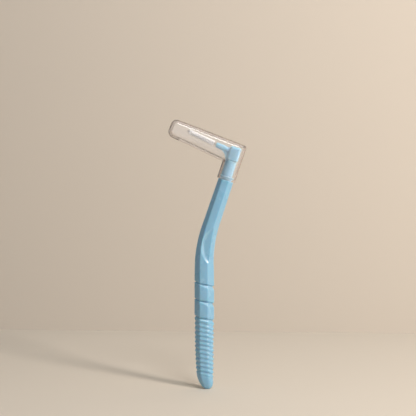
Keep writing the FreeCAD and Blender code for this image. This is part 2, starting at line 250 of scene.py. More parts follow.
# stage: floor, and a wall a little way behind the brush
studio = {
    "floorColour": (0.71, 0.65, 0.552),
    "wallColour": (0.615, 0.55, 0.463),
    "roughness": 0.85,
    "specular": 0.15,
    "reach": 3.0,
    "wallTop": 4.0,
    "wallY": 0.125,
    "worldColour": (0.86, 0.95, 1.08),
    "worldStrength": 0.27,
    "lampAim": (0.0, 0.0, 0.06),
    "lamps": {  # name: turn to the right, rise, distance, size, power, colour
        "key": (52.0, 32.0, 0.62, 0.12, 2.35, (1.0, 0.91, 0.86)),
        "overhead": (26.0, 56.0, 0.5, 0.14, 0.7, (0.98, 0.98, 1.0)),
        "side": (58.0, 3.0, 0.7, 0.16, 1.35, (1.0, 0.96, 0.93)),
    },
}


def stagePlane(name, corners, colour):
    mesh = bpy.data.meshes.new(name)
    mesh.from_pydata(corners, [], [(0, 1, 2, 3)])
    plane = bpy.data.objects.new(name, mesh)
    scene.collection.objects.link(plane)
    mat, tree, shader = newMaterial(name)
    shader.inputs["Base Color"].default_value = rgba(colour)
    shader.inputs["Roughness"].default_value = studio["roughness"]
    shader.inputs["Specular IOR Level"].default_value = studio["specular"]
    side = addNode(tree, "ShaderNodeNewGeometry")
    clear = addNode(tree, "ShaderNodeBsdfTransparent")
    pickShader(tree, side.outputs["Backfacing"], shader, clear)  # views from behind or below look through it
    mesh.materials.append(mat)


def placeLamp(name, turn, rise, distance, size, power, colour):
    away = pointing(turn, rise)
    lamp = bpy.data.lights.new(name, "AREA")
    lamp.shape = "DISK"
    lamp.size, lamp.energy, lamp.color = size, power, colour
    placed = bpy.data.objects.new(name, lamp)
    placed.location = Vector(studio["lampAim"]) + away * distance
    placed.rotation_euler = lookBack(away)
    placed.visible_transmission = False  # the cap already lets lamps through
    scene.collection.objects.link(placed)


def buildStudio():
    reach, wallY, top = studio["reach"], studio["wallY"], studio["wallTop"]
    floor = [(-reach, -reach, 0), (reach, -reach, 0), (reach, reach, 0), (-reach, reach, 0)]
    wall = [(-reach, wallY, 0), (reach, wallY, 0), (reach, wallY, top), (-reach, wallY, top)]
    stagePlane("floor", floor, studio["floorColour"])
    stagePlane("wall", wall, studio["wallColour"])
    world = bpy.data.worlds.new("studio")
    world.use_nodes = True
    sky = world.node_tree.nodes["Background"]
    sky.inputs["Color"].default_value = rgba(studio["worldColour"])
    sky.inputs["Strength"].default_value = studio["worldStrength"]
    scene.world = world
    for name, settings in studio["lamps"].items():
        placeLamp(name, *settings)


buildStudio()
print("studio built")

# mesh helpers


def meshObject(name, points, faces):
    mesh = bpy.data.meshes.new(name)
    mesh.from_pydata([tuple(c * milli for c in p) for p in points], [], faces)
    mesh.validate()
    smoothFaces(mesh)
    made = bpy.data.objects.new(name, mesh)
    scene.collection.objects.link(made)
    return made


def smoothFaces(mesh):
    for poly in mesh.polygons:
        poly.use_smooth = True


def closeLoops(bm, loops):
    # skins each loop to the next and closes both ends
    count = len(loops[0])
    for low, high in zip(loops, loops[1:]):
        for k in range(count):
            n = (k + 1) % count
            bm.faces.new((low[k], low[n], high[n], high[k]))
    bm.faces.new(loops[0][::-1])
    bm.faces.new(loops[-1])


def solidObject(name, bm):
    bmesh.ops.recalc_face_normals(bm, faces=bm.faces)
    mesh = bpy.data.meshes.new(name)
    bm.to_mesh(mesh)
    bm.free()
    made = bpy.data.objects.new(name, mesh)
    scene.collection.objects.link(made)
    return made


def finishedMesh(made):
    # the mesh with its modifiers worked in
    return bpy.data.meshes.new_from_object(made.evaluated_get(bpy.context.evaluated_depsgraph_get()))


def mix(a, b, t):
    return a + (b - a) * t


def ease(t):
    t = min(1.0, max(0.0, t))
    return t * t * (3.0 - 2.0 * t)


def softMax(a, b, k):
    h = max(k - abs(a - b), 0.0) / k
    return max(a, b) + h * h * k * 0.25


def softMin(a, b, k):
    return -softMax(-a, -b, k)


# handle, in mm up the grip from the butt; slopes are for the left, front and right facets
handleForm = {
    "lean": 18.5,
    "buttHeight": 4.6,
    "buttRound": 6.4,
    "buttHalfWidth": 3.35,
    "buttHalfDepth": 2.5,
    "buttAxis": -0.95,
    "buttLand": 0.2,  # share of the full section that is level at the very end
    "buttTaper": 3,
    "buttSoftCorner": 2.0,
    "gripAxis": -1.25,
    "gripHalfWidth": 3.8,
    "gripHalfDepth": 2.9,
    "gripHalfFlat": 1.7,
    "gripCorner": 0.8,
    "ribCount": 13,
    "ribPitch": 1.72,
    "ribDepth": 0.3,
    "ribSetIn": 0.06,
    "ribValley": 0.3,  # share of the pitch
    "ribSoftCorner": 2.3,
    "ribSoftFade": 2.0,
    "ribSlopes": (-0.2, -0.15, 0.16),
    "ribTurn": 3.5,  # pitches in which the ribs turn to the lowest groove's slant
    "grooveHeight": 1.25,
    "grooveDepth": 0.6,
    "grooveFall": 0.7,  # shares of the height in the lower and the upper flank
    "grooveRise": 0.28,
    "grooveFallEase": 0.35,
    "grooveSoft": 0.16,
    "grooveShares": (0, 0.04, 0.1, 0.2, 0.34, 0.48, 0.58, 0.64, 0.68, 0.72, 0.76, 0.82, 0.9, 0.95, 1.0),
    "lowFootSlopes": (-0.1, -0.06, 0.12),  # foot of the lowest groove, almost as the ribs
    "grooveFootSlopes": (0.0, 0.16, 0.06),
    "grooveTopSlopes": (0.0, -0.2, 0.06),
    "bandHeight": 5.4,
    "waist": 6.75,
    "waistFade": 1.6,
    "bendRadius": 50.0,
    "bendSlim": (0.1, 0.74),  # how far towards the neck's section the bend starts and ends
    "neckLength": 18.25,
    "neckHalfWidth": 2.95,
    "neckHalfDepth": 2.35,
    "neckHalfFlat": 1.35,
    "neckCorner": 0.6,
    "shoulderRound": 0.3,
    "shoulderFlat": 0.4,  # share of the set-in that the flat follows
    "scoopShare": 0.54,
    "scoopOutline": 8.9,
    "scoopDepth": 0.7,
    "scoopRadius": 80.0,
    "scoopRim": 0.2,
    "scoopFoot": 0.6,
    "cornerSteps": 6,
    "facetSteps": (10, 28, 10, 10, 28, 10),
    "rings": {"butt": 28, "rib": 12, "band": 10, "waist": 40, "bend": 110, "neck": 60, "shoulder": 6},
}
grooveCount = 3
level = (0.0, 0.0, 0.0)
lean = math.radians(handleForm["lean"])
ribZone = handleForm["ribCount"] * handleForm["ribPitch"]
grooveStart = handleForm["buttHeight"] + ribZone
grooveStep = handleForm["grooveHeight"] + handleForm["bandHeight"]
gripTop = grooveStart + (grooveCount - 1) * grooveStep + handleForm["grooveHeight"]
bendFoot = gripTop + handleForm["waist"]
neckRun = handleForm["neckLength"] - handleForm["shoulderRound"]


def sharpReach(halfWidth, halfDepth, halfFlat, corner):
    # where the side corner would be before rounding
    reach = halfWidth
    for again in range(8):  # settles well before that
        reach = halfWidth + corner * (1 / math.sin(math.atan2(halfDepth, reach - halfFlat)) - 1)
    return reach


def sixSidedRing(halfWidth, halfDepth, halfFlat, corner, rightCorner):
    # rounded six-sided outline; halfWidth runs to the rounded side corners
    right = sharpReach(halfWidth, halfDepth, halfFlat, rightCorner)
    left = sharpReach(halfWidth, halfDepth, halfFlat, corner)
    tips = [
        (Vector((right, 0)), rightCorner),
        (Vector((halfFlat, halfDepth)), rightCorner),
        (Vector((-halfFlat, halfDepth)), corner),
        (Vector((-left, 0)), corner),
        (Vector((-halfFlat, -halfDepth)), corner),
        (Vector((halfFlat, -halfDepth)), rightCorner),
    ]
    steps = handleForm["cornerSteps"]
    arcs = []
    for n, (tip, radius) in enumerate(tips):
        toLast = (tips[n - 1][0] - tip).normalized()
        toNext = (tips[(n + 1) % len(tips)][0] - tip).normalized()
        half = toLast.angle(toNext) / 2
        middle = tip + (toLast + toNext).normalized() * (radius / math.sin(half))
        first, last = tip + toLast * radius / math.tan(half), tip + toNext * radius / math.tan(half)
        a0 = math.atan2(first.y - middle.y, first.x - middle.x)
        a1 = math.atan2(last.y - middle.y, last.x - middle.x)
        turn = (a1 - a0 + math.pi) % (2 * math.pi) - math.pi
        angles = [a0 + turn * k / steps for k in range(steps + 1)]
        arcs.append([middle + Vector((math.cos(a), math.sin(a))) * radius for a in angles])
    ring = []
    for n, arc in enumerate(arcs):
        ring += arc
        start, stop = arc[-1], arcs[(n + 1) % len(arcs)][0]
        between = handleForm["facetSteps"][n]
        ring += [start.lerp(stop, (k + 1) / (between + 1)) for k in range(between)]
    return ring


def bendPlace(share):
    angle = lean * share
    r = handleForm["bendRadius"]
    return handleForm["gripAxis"] + r * (1 - math.cos(angle)), bendFoot + r * math.sin(angle)


def neckPlace(rise):
    x, z = bendPlace(1.0)
    return x + rise * math.sin(lean), z + rise * math.cos(lean)


def slimmed(share):
    # half width, half depth, half flat and corner between the grip and the neck
    f = handleForm
    return (
        mix(f["gripHalfWidth"], f["neckHalfWidth"], share),
        mix(f["gripHalfDepth"], f["neckHalfDepth"], share),
        mix(f["gripHalfFlat"], f["neckHalfFlat"], share),
        mix(f["gripCorner"], f["neckCorner"], share),
    )


scoopTurn = lean * handleForm["scoopShare"]
scoopAxis = bendPlace(handleForm["scoopShare"])
scoopLevel, scoopFlat = slimmed(mix(*handleForm["bendSlim"], handleForm["scoopShare"]))[1:3]


def carveScoop(p):
    # lowers a point of the flat into the thumb dish
    f = handleForm
    dx, dz = p.x - scoopAxis[0], p.z - scoopAxis[1]
    across = dx * math.cos(scoopTurn) - dz * math.sin(scoopTurn)
    along = dx * math.sin(scoopTurn) + dz * math.cos(scoopTurn)
    fromMiddle = math.hypot(across - (f["scoopOutline"] - scoopFlat), along)
    wall = scoopLevel + fromMiddle - f["scoopOutline"]
    floor = scoopLevel - f["scoopDepth"] + along * along / (2 * f["scoopRadius"])
    limit = softMax(wall, floor, f["scoopFoot"])
    side = math.copysign(1.0, p.y)
    return Vector((p.x, side * softMin(abs(p.y), limit, f["scoopRim"]), p.z))


def archDrop(across, flat, slopes):
    onLeft, onFront, onRight = slopes
    if across > flat:
        return onFront * flat + onRight * (across - flat)
    if across < -flat:
        return -onFront * flat + onLeft * (across + flat)
    return onFront * across


def placeRing(x, z, tilt, outline, slopes=level, carve=False):
    halfFlat = outline[2]
    ring = []
    for q in sixSidedRing(*outline):
        height = z - q.x * math.sin(tilt) - archDrop(q.x, halfFlat, slopes)
        p = Vector((x + q.x * math.cos(tilt), q.y, height))
        ring.append(carveScoop(p) if carve else p)
    return ring


def buttScale(height):
    rise = min(1.0, height / handleForm["buttRound"])
    return handleForm["buttLand"] + (1 - handleForm["buttLand"]) * math.sqrt(1 - (1 - rise) ** 2)


def gripRing(height, setIn, slopes):
    f = handleForm
    fall = (1 - min(1.0, (height - f["buttHeight"]) / ribZone)) ** f["buttTaper"]
    scale = buttScale(height)
    halfWidth = mix(f["gripHalfWidth"], f["buttHalfWidth"], fall) * scale
    halfDepth = mix(f["gripHalfDepth"], f["buttHalfDepth"], fall) * scale
    soft = ease((grooveStart - height) / f["ribSoftFade"])
    outline = (
        (halfWidth - setIn) / math.cos(lean),
        halfDepth - setIn,
        f["gripHalfFlat"] * halfWidth / f["gripHalfWidth"],
        f["gripCorner"] * scale,
        mix(f["gripCorner"], f["ribSoftCorner"], soft) * scale,
    )
    return placeRing(mix(f["gripAxis"], f["buttAxis"], fall), height, lean, outline, slopes)


def mixSlopes(a, b, t):
    return tuple(mix(p, q, t) for p, q in zip(a, b))


def buttRings():
    # turning from level to the slant of the ribs
    f = handleForm
    count = f["rings"]["butt"]
    rings = []
    for n in range(count):
        share = (n / count) ** 2
        height = f["buttHeight"] * share
        scale, tilt = buttScale(height), lean * share
        outline = (
            (f["buttHalfWidth"] - f["ribSetIn"]) * scale / math.cos(tilt),
            (f["buttHalfDepth"] - f["ribSetIn"]) * scale,
            f["gripHalfFlat"] * f["buttHalfWidth"] / f["gripHalfWidth"] * scale,
            mix(f["buttSoftCorner"], f["gripCorner"], share) * scale,
            f["ribSoftCorner"] * scale,
        )
        slopes = mixSlopes(level, f["ribSlopes"], share)
        rings.append(placeRing(f["buttAxis"] * share, height, tilt, outline, slopes))
    return rings


def ribRings():
    # rounded waves
    f = handleForm
    count = f["rings"]["rib"]
    turnRun = f["ribTurn"] * f["ribPitch"]
    rings = []
    for rib in range(f["ribCount"]):
        for n in range(count):
            share = n / count
            wave = 0.5 + 0.5 * math.cos(2 * math.pi * (share - f["ribValley"]))
            height = f["buttHeight"] + (rib + share) * f["ribPitch"]
            toGroove = ease((height - grooveStart + turnRun) / turnRun)
            slopes = mixSlopes(f["ribSlopes"], f["lowFootSlopes"], toGroove)
            rings.append(gripRing(height, f["ribSetIn"] + f["ribDepth"] * wave * ease(rib + share), slopes))
    return rings


def grooveRings():
    # grooves with a long lower flank and a short upper one, plain bands between them
    f = handleForm
    count = f["rings"]["band"]
    rings = []
    for groove in range(grooveCount):
        foot = grooveStart + groove * grooveStep
        footSlopes = f["grooveFootSlopes"] if groove else f["lowFootSlopes"]
        for u in f["grooveShares"]:
            fallen = u / f["grooveFall"]
            down = ease(fallen) * f["grooveFallEase"] + min(1.0, fallen) * (1 - f["grooveFallEase"])
            up = min(1.0, max(0.0, (1 - u) / f["grooveRise"]))
            depth = f["grooveDepth"] * softMin(down, up, f["grooveSoft"])
            slopes = mixSlopes(footSlopes, f["grooveTopSlopes"], u)
            rings.append(gripRing(foot + u * f["grooveHeight"], max(0.0, depth), slopes))
        if groove < grooveCount - 1:
            for n in range(1, count):
                height = foot + f["grooveHeight"] + f["bandHeight"] * n / count
                slopes = mixSlopes(f["grooveTopSlopes"], f["grooveFootSlopes"], n / count)
                rings.append(gripRing(height, 0.0, slopes))
    return rings


def neckRings():
    # waist, bend and neck, with the scoop in them, and a rounded shoulder that closes in to the collar
    f = handleForm
    counts = f["rings"]
    startSlim, endSlim = f["bendSlim"]
    rings = []
    for n in range(1, counts["waist"]):
        share = n / counts["waist"]
        w, d, flat, corner = slimmed(startSlim * share)
        slopes = mixSlopes(f["grooveTopSlopes"], level, ease(share * f["waistFade"]))
        outline = (w / math.cos(lean), d, flat, corner, corner)
        rings.append(placeRing(f["gripAxis"], gripTop + f["waist"] * share, lean, outline, slopes, True))
    for n in range(counts["bend"] + 1):
        share = n / counts["bend"]
        w, d, flat, corner = slimmed(mix(startSlim, endSlim, share))
        outline = (w / math.cos(lean * (1 - share)), d, flat, corner, corner)
        rings.append(placeRing(*bendPlace(share), lean, outline, level, True))
    for n in range(1, counts["neck"] + 1):
        share = n / counts["neck"]
        w, d, flat, corner = slimmed(mix(endSlim, 1.0, share))
        rings.append(placeRing(*neckPlace(neckRun * share), lean, (w, d, flat, corner, corner), level, True))
    w, d, flat, corner = slimmed(1.0)
    for n in range(1, counts["shoulder"] + 1):
        turn = math.pi / 2 * n / counts["shoulder"]
        setIn = f["shoulderRound"] * (1 - math.cos(turn))
        rise = neckRun + f["shoulderRound"] * math.sin(turn)
        outline = (w - setIn, d - setIn, flat - setIn * f["shoulderFlat"], corner, corner)
        rings.append(placeRing(*neckPlace(rise), lean, outline))
    return rings


def skinRings(rings):
    count = len(rings[0])
    points = [p for ring in rings for p in ring]
    faces = []
    for r in range(len(rings) - 1):
        for k in range(count):
            n = (k + 1) % count
            faces.append((r * count + k, r * count + n, (r + 1) * count + n, (r + 1) * count + k))
    for ring, flip in ((0, True), (len(rings) - 1, False)):  # the ends, each with a loop half way in
        middle = sum(rings[ring], Vector()) / count
        inner = len(points)
        points += [middle.lerp(p, 0.5) for p in rings[ring]] + [middle]
        for k in range(count):
            n = (k + 1) % count
            quad = (ring * count + k, ring * count + n, inner + n, inner + k)
            tri = (inner + k, inner + n, inner + count)
            faces += [quad[::-1], tri[::-1]] if flip else [quad, tri]
    return points, faces


# head, in mm from the middle of the shoulder with z up the post
headForm = {
    "shoulder": (7.125, 0.0, 81.43),
    "collarRadius": 2.8,
    "collarHeight": 1.5,
    "collarUndercut": 0.9,
    "collarFoot": (-0.4, 0.15),
    "collarEdge": (0.2, 0.06),
    "postRadius": 2.2,
    "postOffset": -0.35,
    "postDepth": 0.9,  # share of the width
    "postFoot": 0.2,
    "postNeck": 0.16,
    "postNeckHeight": 0.45,
    "postNeckEase": 0.1,
    "postSunk": 1.0,  # runs on inside the block
    "blockHalf": (2.15, 2.1),
    "blockShift": -0.2,
    "blockFoot": 7.9,
    "blockTop": 13.3,
    "blockCorner": 0.85,
    "blockEdge": 0.4,
    "blockFootEdge": 0.12,
    "brushHeight": 10.9,
    "brushRise": 7.0,
    "nozzleLength": 8.0,
    "nozzleRoot": 1.25,
    "nozzleEnd": 1.0,
    "nozzleEdge": ((0.01, 0.25), (-0.06, 0.08), (-0.22, 0.0)),  # out from the end's radius, back from its tip
    "gussetReach": 5.6,
    "gussetFoot": 6.4,
    "gussetHalf": 0.8,
    "gussetHollow": 0.3,
    "gussetSteps": 12,
    "latheSteps": 64,
    "quarterSteps": 8,
    "voxel": 0.1,
    "softenBy": 0.5,
    "soften": 3,
}
shoulderFrame = Matrix.Translation(Vector(headForm["shoulder"]) * milli) @ Matrix.Rotation(lean, 4, "Y")
brushTurn = math.radians(headForm["brushRise"])
brushRun = Vector((-math.cos(brushTurn), 0, math.sin(brushTurn)))
brushStart = Vector((0, 0, headForm["brushHeight"]))


def addLathe(bm, profile, place):
    # turns (radius, height) pairs round z
    steps = headForm["latheSteps"]
    turns = [2 * math.pi * k / steps for k in range(steps)]
    loops = []
    for radius, height in profile:
        spots = [Vector((radius * math.cos(a), radius * math.sin(a), height)) for a in turns]
        loops.append([bm.verts.new(place @ p) for p in spots])
    closeLoops(bm, loops)


def roundedSquare(half, corner, shift):
    steps = headForm["quarterSteps"]
    spots = []
    for sx, sy, a0 in ((1, 1, 0), (-1, 1, 90), (-1, -1, 180), (1, -1, 270)):
        for k in range(steps + 1):
            a = math.radians(a0 + 90 * k / steps)
            x = shift + sx * (half[0] - corner) + corner * math.cos(a)
            spots.append((x, sy * (half[1] - corner) + corner * math.sin(a)))
    return spots


def addCollar(bm):
    f = headForm
    radius, height = f["collarRadius"], f["collarHeight"]
    foot = radius - f["collarUndercut"]
    edge, nearEdge = f["collarEdge"]
    profile = [(foot, z) for z in f["collarFoot"]]
    profile += [(radius, height - edge), (radius - nearEdge, height - nearEdge), (radius - edge, height)]
    addLathe(bm, profile, Matrix.Identity(4))


def addPost(bm):
    # a little oval, with a fine neck under the block
    f = headForm
    radius, top = f["postRadius"], f["blockFoot"] - f["postNeckHeight"]
    neck = radius - f["postNeck"]
    profile = [(radius, f["postFoot"]), (radius, top)]
    profile += [(neck, top + f["postNeckEase"]), (neck, f["blockFoot"] + f["postSunk"])]
    place = Matrix.Translation((f["postOffset"], 0, 0)) @ Matrix.Diagonal((1, f["postDepth"], 1, 1))
    addLathe(bm, profile, place)


def addBlock(bm):
    f = headForm
    foot, top, footEdge, edge = f["blockFoot"], f["blockTop"], f["blockFootEdge"], f["blockEdge"]
    loops = []
    for setIn, height in ((footEdge, foot), (0.0, foot + footEdge), (0.0, top - edge), (edge, top)):
        half = [h - setIn for h in f["blockHalf"]]
        outline = roundedSquare(half, f["blockCorner"] - setIn / 2, f["blockShift"])
        loops.append([bm.verts.new((x, y, height)) for x, y in outline])
    closeLoops(bm, loops)


def addNozzle(bm):
    f = headForm
    profile = [(f["nozzleRoot"], 0.0)]
    profile += [(f["nozzleEnd"] + out, f["nozzleLength"] - back) for out, back in f["nozzleEdge"]]
    place = Matrix.Translation(brushStart) @ brushRun.to_track_quat("Z", "Y").to_matrix().to_4x4()
    addLathe(bm, profile, place)


def addGusset(bm):
    # hollow web between the nozzle and the post
    f = headForm
    side = f["postOffset"] - f["postRadius"]
    axisZ = f["brushHeight"] + f["gussetReach"] * math.tan(brushTurn)
    top, foot = Vector((-f["gussetReach"], axisZ - f["nozzleEnd"])), Vector((side, f["gussetFoot"]))
    chord = (top + foot) / 2
    hollow = chord + (Vector((side, f["brushHeight"])) - chord) * f["gussetHollow"]
    pull = hollow * 2 - chord
    outline = []
    for k in range(f["gussetSteps"] + 1):
        t = k / f["gussetSteps"]
        p = top * (1 - t) ** 2 + pull * 2 * t * (1 - t) + foot * t * t
        outline.append((p.x, p.y))
    outline += [(0.0, f["gussetFoot"]), (0.0, f["brushHeight"]), (-f["gussetReach"], axisZ)]
    closeLoops(bm, [[bm.verts.new((x, y, z)) for x, z in outline] for y in (-f["gussetHalf"], f["gussetHalf"])])


def makeHead():
    f = headForm
    bm = bmesh.new()
    for add in (addCollar, addPost, addBlock, addNozzle, addGusset):
        add(bm)
    head = solidObject("head", bm)
    skin = head.modifiers.new("one skin", "REMESH")
    skin.mode = "VOXEL"
    skin.voxel_size = f["voxel"]
    soft = head.modifiers.new("soften", "SMOOTH")
    soft.factor = f["softenBy"]
    soft.iterations = f["soften"]
    made = finishedMesh(head)
    bpy.data.objects.remove(head)
    made.transform(shoulderFrame @ Matrix.Scale(milli, 4))
    return made


def makeHandle():
    rings = buttRings() + ribRings() + grooveRings() + neckRings()
    handle = meshObject("handle_moulding", *skinRings(rings))
    head = makeHead()
    bm = bmesh.new()
    bm.from_mesh(handle.data)
    bm.from_mesh(head)
    bm.to_mesh(handle.data)
    bm.free()
    smoothFaces(handle.data)
    bpy.data.meshes.remove(head)
    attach(handle, "brush")
    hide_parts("handle")
    return handle


handle = makeHandle()
print("handle:", len(handle.data.polygons), "faces")

bluePlastic = {
    "tone": (0.24, 0.457, 0.6),
    "other": (0.265, 0.483, 0.625),
    "clouds": 140.0,
    "pebble": 5200.0,
    "drift": 160.0,
    "polish": (0.22, 0.31),
    "grainBump": 0.05,
    "grainDepth": 0.00002,
    "ior": 1.49,
    "glowWeight": 0.75,  # light goes a little way into the plastic
    "glowRadius": (0.35, 0.75, 1.0),
    "glowDepth": 0.0028,
}


def dressHandle():
    s = bluePlastic
    mat, tree, shader, grain = grainedMaterial("bluePlastic", s)
    raiseGrain(tree, shader, grain, s)
    shader.inputs["IOR"].default_value = s["ior"]
    shader.inputs["Subsurface Weight"].default_value = s["glowWeight"]
    shader.inputs["Subsurface Radius"].default_value = s["glowRadius"]
    shader.inputs["Subsurface Scale"].default_value = s["glowDepth"]
    handle.data.materials.append(mat)


dressHandle()

# clear cap, in mm in the head's frame; the arm runs to -x
capForm = {
    "radius": 3.55,  # outside of the leg
    "wall": 0.7,
    "sideGap": 0.05,
    "mouth": 0.1,
    "legTop": 10.9,
    "topLine": 15.05,
    "topRise": 2.6,
    "rootHeight": 9.4,
    "endHeight": 7.0,
    "rootAt": -5.7,
    "endAt": 26.85,
    "corner": 2.6,
    "leastCorner": 0.05,
    "endRound": 2.3,
    "noseRound": 0.9,
    "leastNose": 0.1,
    "slotHalf": 1.75,
    "legSlotHalf": 1.4,
    "slotEnd": 23.0,
    "beadAt": (-3.1, 1.8),  # thickened rims of the leg's slot
    "beadRadius": 0.45,
    "beadTop": 6.95,
    "beadTintAndShade": 0.6,  # how dark the beads, and with the next the mouth's rim, are painted: partly thicker plastic, partly painted shade
    "mouthTintAndShade": 0.3,
    "sharpFrom": 35.0,
    "barSteps": 24,
    "endSteps": 12,
    "cornerSteps": 16,
    "noseSteps": 8,
    "hair": 0.004,  # keeps the leg just inside the arm's own nose
    "past": {"below": -5.0, "above": 30.0, "left": -60.0},  # well clear of the cap
    "cutPast": {"inside": 1.0, "mouth": 2.0, "arm": 0.02, "leg": 1.0},  # how far cutters run past the plastic
    "nearBead": 0.02,
    "nearMouth": 0.01,
}


def arcSpots(middle, reach, first, last, step):
    turns = [math.radians(a) for a in range(first, last, step)]
    return [(middle[0] + reach[0] * math.cos(a), middle[1] + reach[1] * math.sin(a)) for a in turns]


def capBar(wall):
    # tapering bar with rounded edges and a rounded far end
    f = capForm
    rise = math.radians(f["topRise"])
    endAt, endRound = f["endAt"] - wall, f["endRound"] - wall
    straight = endAt - f["endRound"] + wall
    stations = [(mix(f["rootAt"], straight, n / f["barSteps"]), 0.0) for n in range(f["barSteps"] + 1)]
    for n in range(1, f["endSteps"] + 1):
        turn = math.pi / 2 * n / f["endSteps"]
        stations.append((endAt - endRound + endRound * math.sin(turn), endRound * (1 - math.cos(turn))))
    rings = []
    for u, setIn in stations:
        height = mix(f["rootHeight"], f["endHeight"], (u - f["rootAt"]) / (endAt - f["rootAt"]))
        low, high = wall - height + setIn, -wall - setIn
        half = f["radius"] - f["sideGap"] - wall - setIn
        corner = max(f["leastCorner"], f["corner"] - wall - setIn)
        ring = []
        for sy, edge, inward, a0 in ((1, high, -1, 0), (-1, high, -1, 90), (-1, low, 1, 180), (1, low, 1, 270)):
            for k in range(f["cornerSteps"] + 1):
                a = math.radians(a0 + 90 * k / f["cornerSteps"])
                y = sy * (half - corner) + corner * math.cos(a)
                v = edge + inward * corner + corner * math.sin(a)
                x = -u * math.cos(rise) + v * math.sin(rise)
                ring.append(Vector((x, y, f["topLine"] + u * math.sin(rise) + v * math.cos(rise))))
        rings.append(ring)
    return rings


def solidFromRings(rings):
    bm = bmesh.new()
    closeLoops(bm, [[bm.verts.new(p) for p in ring] for ring in rings])
    return solidObject("former", bm)


def upright(outline, low, high):
    return solidFromRings([[Vector((x, y, z)) for x, y in outline] for z in (low, high)])


def combine(base, tool, how):
    cutter = base.modifiers.new("combine", "BOOLEAN")
    cutter.object = tool
    cutter.operation = how
    cutter.solver = "EXACT"
    mesh = finishedMesh(base)
    base.modifiers.clear()
    base.data = mesh
    bpy.data.objects.remove(tool)
    return base


def capSolid(wall, mouth):
    # arm and leg together, smaller all round by the wall
    f = capForm
    radius = f["radius"] - wall
    nose = max(f["leastNose"], f["noseRound"] - wall)
    top = f["topLine"] - wall - radius * math.sin(math.radians(f["topRise"]))
    turns = [math.pi / 2 * n / f["noseSteps"] for n in range(f["noseSteps"] + 1)]
    layers = [(0.0, f["past"]["below"])]
    layers += [(nose * (1 - math.cos(t)), top - nose + nose * math.sin(t)) for t in turns]
    layers.append((nose, f["past"]["above"]))
    left = f["past"]["left"]
    rings = []
    for setIn, height in layers:  # the nose draws in towards the top, the sides stay
        plan = arcSpots((0.0, 0.0), (radius - setIn, radius), -90, 91, 2) + [(left, radius), (left, -radius)]
        rings.append([Vector((x, y, height)) for x, y in plan])
    arm = combine(solidFromRings(capBar(wall)), solidFromRings(rings), "INTERSECT")
    inside = radius - f["hair"]
    circle = arcSpots((0.0, 0.0), (inside, inside), 0, 360, 2)
    return combine(arm, upright(circle, mouth, f["legTop"]), "UNION")


def cutSlots(cap):
    # one slot along the underside of the arm, a narrower one down the leg
    f = capForm
    past = f["cutPast"]
    low, high = f["mouth"] - past["mouth"], f["legTop"]
    half = f["slotHalf"]
    root = -f["radius"] - past["arm"]
    slot = arcSpots((half - f["slotEnd"], 0.0), (half, half), 90, 271, 5) + [(root, -half), (root, half)]
    combine(cap, upright(slot, low, high), "DIFFERENCE")
    half = f["legSlotHalf"]
    root = -f["radius"] - past["leg"]
    legSlot = [(0.0, half), (root, half), (root, -half), (0.0, -half)]
    combine(cap, upright(legSlot, low, high), "DIFFERENCE")


def addBeads(cap):
    f = capForm
    beadX, beadY = f["beadAt"]
    for side in (1, -1):
        bead = arcSpots((beadX, side * beadY), (f["beadRadius"],) * 2, 0, 360, 10)
        combine(cap, upright(bead, f["mouth"], f["beadTop"]), "UNION")


def markRimTintAndShade(cap):
    # faces painted darker: the beads and the rim of the mouth, partly for the thicker plastic one looks through
    # there, partly as painted shade
    f = capForm
    beadX, beadY = f["beadAt"]
    deep = cap.data.attributes.new("rimTintAndShade", "FLOAT", "FACE")
    for poly in cap.data.polygons:
        x, y, z = poly.center
        fromBead = math.hypot(x - beadX, abs(y) - beadY) - f["beadRadius"]
        onBead = fromBead < f["nearBead"] and z < f["beadTop"]
        onMouth = abs(z - f["mouth"]) < f["nearMouth"]
        deep.data[poly.index].value = f["beadTintAndShade"] if onBead else f["mouthTintAndShade"] if onMouth else 0.0


def makeCap():
    f = capForm
    cap = capSolid(0.0, f["mouth"])
    combine(cap, capSolid(f["wall"], f["mouth"] - f["cutPast"]["inside"]), "DIFFERENCE")
    cutSlots(cap)
    addBeads(cap)
    markRimTintAndShade(cap)
    cap.name = "clear_cap_shell"
    cap.data.transform(shoulderFrame @ Matrix.Scale(milli, 4))
    smoothFaces(cap.data)
    cap.data.set_sharp_from_angle(angle=math.radians(f["sharpFrom"]))
    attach(cap, "cap")
    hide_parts("clear_cap")
    return cap


cap = makeCap()
print("cap:", len(cap.data.polygons), "faces")

clearPlastic = {
    "face": (0.99, 0.985, 0.98),
    # brown of the edges and rims, partly the plastic's own tint, partly painted shade
    "edge": (0.41, 0.315, 0.28),
    "slant": (0.3, 0.65),  # where the edge colour starts and is full
    "clear": 0.93,  # the rest is a thin haze of handling and dust
    "ior": 1.46,
    "marks": 1400.0,
    "scuffed": (0.015, 0.06),
    "letThrough": 0.66,
}


